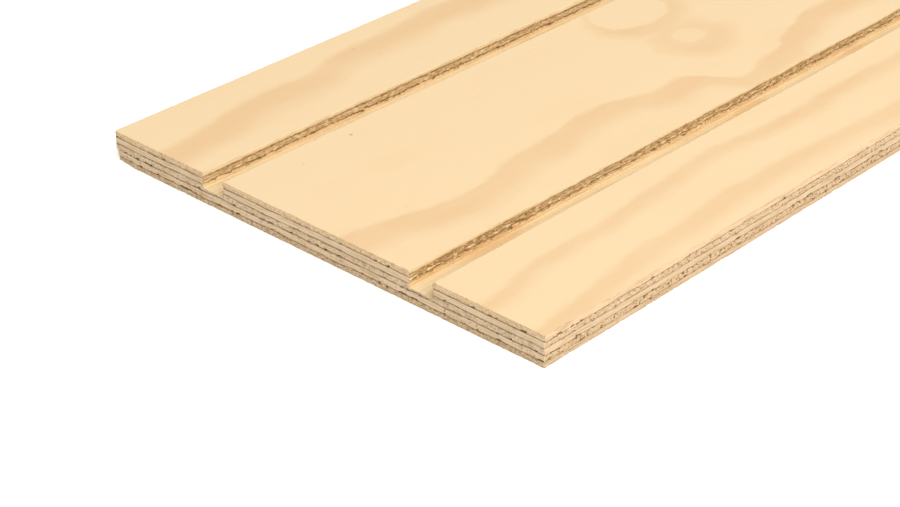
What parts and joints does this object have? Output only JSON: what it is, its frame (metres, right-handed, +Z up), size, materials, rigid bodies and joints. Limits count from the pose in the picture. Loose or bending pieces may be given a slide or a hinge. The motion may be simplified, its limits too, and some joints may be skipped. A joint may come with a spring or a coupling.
{
  "type": "grooved plywood sheet",
  "caption": "Flat sheet of pine plywood with flat-bottomed grooves along its face, which cut through the face and the veneer under it.",
  "frame": {"origin": "middle of the sheet's underside", "axes": "+X across the sheet, +Y along the face grain and the grooves, +Z up out of the grooved face"},
  "size_m": [0.206, 0.6, 0.012],
  "materials": {
    "face_veneer": "sanded",
    "core_veneer": "sawn"
  },
  "bodies": {
    "root": {"back_veneer": "face_veneer", "lower_cross_veneer": "core_veneer", "centre_veneer": "core_veneer", "upper_cross_veneer_1": "core_veneer", "face_veneer_1": "face_veneer", "upper_cross_veneer_2": "core_veneer", "face_veneer_2": "face_veneer", "upper_cross_veneer_3": "core_veneer", "face_veneer_3": "face_veneer"}
  },
  "joints": []
}
